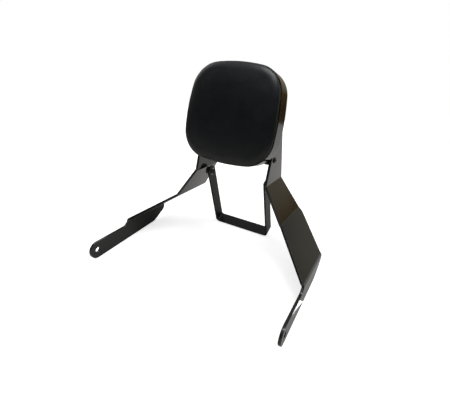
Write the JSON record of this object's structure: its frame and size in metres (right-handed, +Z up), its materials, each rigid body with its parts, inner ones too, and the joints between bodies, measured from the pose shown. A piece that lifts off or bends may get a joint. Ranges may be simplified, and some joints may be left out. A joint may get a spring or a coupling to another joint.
{
  "type": "motorcycle backrest",
  "caption": "Passenger backrest with a small padded back on two bent flat struts with eyed arms, and a U-shaped flat bar stay hung between them.",
  "frame": {"origin": "on the ground plane under the middle of the part's box, with the part standing on its two strut eyes and on the foot of the stay", "axes": "+X to the right as seen from the front, facing the pad; +Y to the rear, from the eyes towards the back of the pad; +Z up"},
  "size_m": [0.317, 0.238, 0.2958],
  "materials": {
    "strut_paint": "gloss black",
    "bracket_paint": "gloss black",
    "stay_paint": "semi-gloss black",
    "black_oxide": "blackened",
    "zinc": "zinc plated",
    "shell_plastic": "gloss black",
    "plywood": "bare",
    "foam": "open-cell foam",
    "vinyl": "fine-grained black vinyl"
  },
  "bodies": {
    "frame": {"strut_right": "strut_paint", "strut_left": "strut_paint", "pad_bracket": "bracket_paint", "stay_bosses": "strut_paint", "stay_bolts": "black_oxide", "stay_washers": "zinc", "strut_bolts": "black_oxide", "strut_washers": "zinc", "strut_nuts": "zinc", "pad_shell": "shell_plastic", "pad_board": "plywood", "pad_foam": "foam", "pad_cover": "vinyl", "pad_t_nuts": "zinc", "pad_screws": "zinc", "pad_washers": "zinc", "pad_spring_washers": "zinc"},
    "stay": {"stay": "stay_paint"}
  },
  "joints": [
    {"name": "stay_swing", "type": "hinge", "parent": "frame", "child": "stay", "pos_m": [0, 0.07125, 0.11365], "axis": [1, 0, 0], "range_deg": [-35, 55]}
  ]
}
